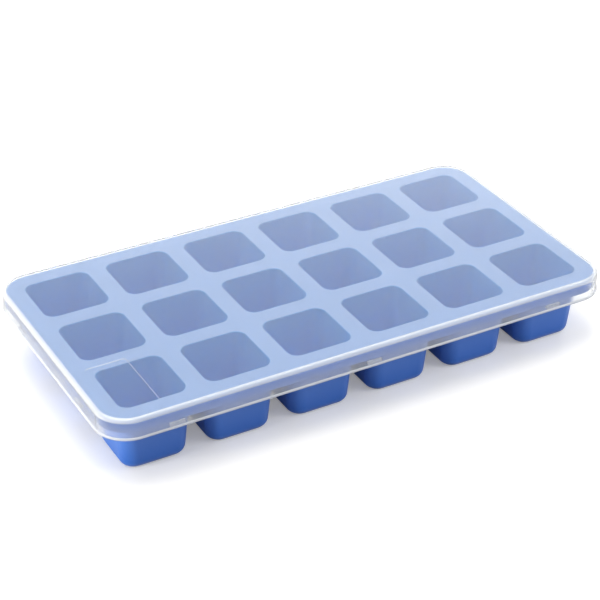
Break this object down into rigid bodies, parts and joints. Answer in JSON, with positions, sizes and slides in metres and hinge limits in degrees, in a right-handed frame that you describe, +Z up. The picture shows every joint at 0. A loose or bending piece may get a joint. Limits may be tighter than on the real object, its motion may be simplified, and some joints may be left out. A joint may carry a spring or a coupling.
{
  "type": "silicone ice cube tray",
  "caption": "Soft tray of deep square cups for large ice cubes, joined by a flat plate with a turned-down rim, under a shallow frosted lid.",
  "frame": {"origin": "on the surface the tray stands on, under the middle of the tray", "axes": "+X along the long side to the right, +Y towards the back, +Z up"},
  "size_m": [0.2466, 0.1296, 0.0333],
  "materials": {
    "silicone": "satin, very fine matt grain",
    "frosted_plastic": "translucent, fine frost on the outside, clear lip"
  },
  "bodies": {
    "root": {"tray": "silicone", "lid": "frosted_plastic"}
  },
  "joints": []
}
